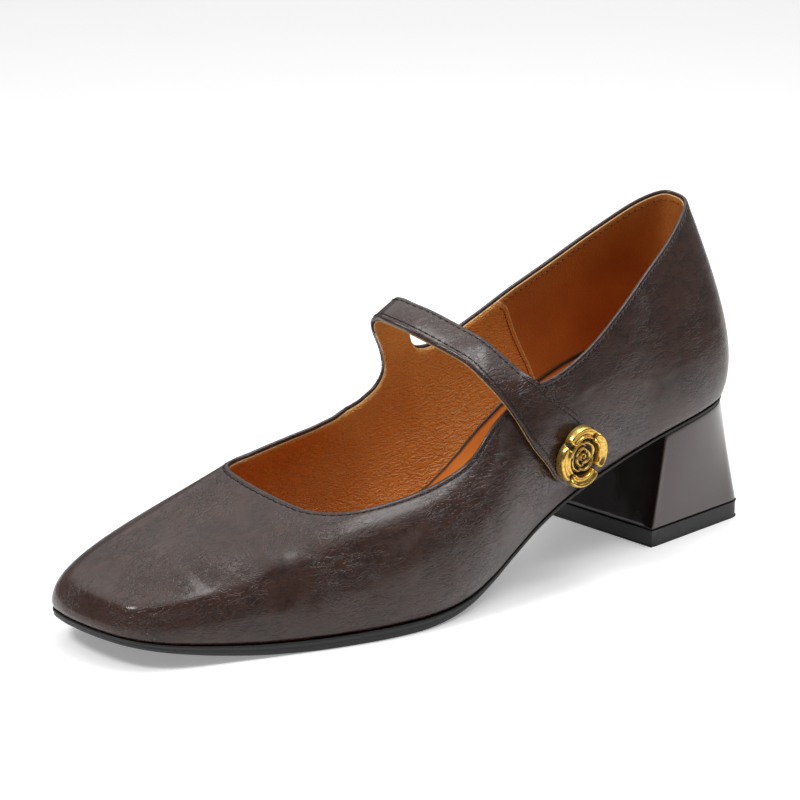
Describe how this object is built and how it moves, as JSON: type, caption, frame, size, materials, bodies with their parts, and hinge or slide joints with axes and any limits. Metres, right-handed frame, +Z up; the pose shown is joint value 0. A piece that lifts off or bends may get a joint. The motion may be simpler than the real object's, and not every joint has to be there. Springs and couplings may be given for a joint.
{
  "type": "mary jane shoe",
  "caption": "Left-foot mary jane shoe with a square toe, a flared block heel and a strap over the instep that ends under a round flower-shaped metal rosette.",
  "frame": {"origin": "on the floor, in the middle of the heel's floor face", "axes": "+Z up, the toe towards -Y, +X out of the outer side of the foot"},
  "size_m": [0.0812, 0.2462, 0.1095],
  "materials": {
    "leather": "satin",
    "sock": "satin",
    "rubber": "matte",
    "heel_gloss": "gloss",
    "gilt": "polished"
  },
  "bodies": {
    "root": {"upper": "leather", "strap": "leather", "insole": "sock", "outsole": "rubber", "heel": "heel_gloss", "top_lift": "rubber", "rosette": "gilt"}
  },
  "joints": []
}
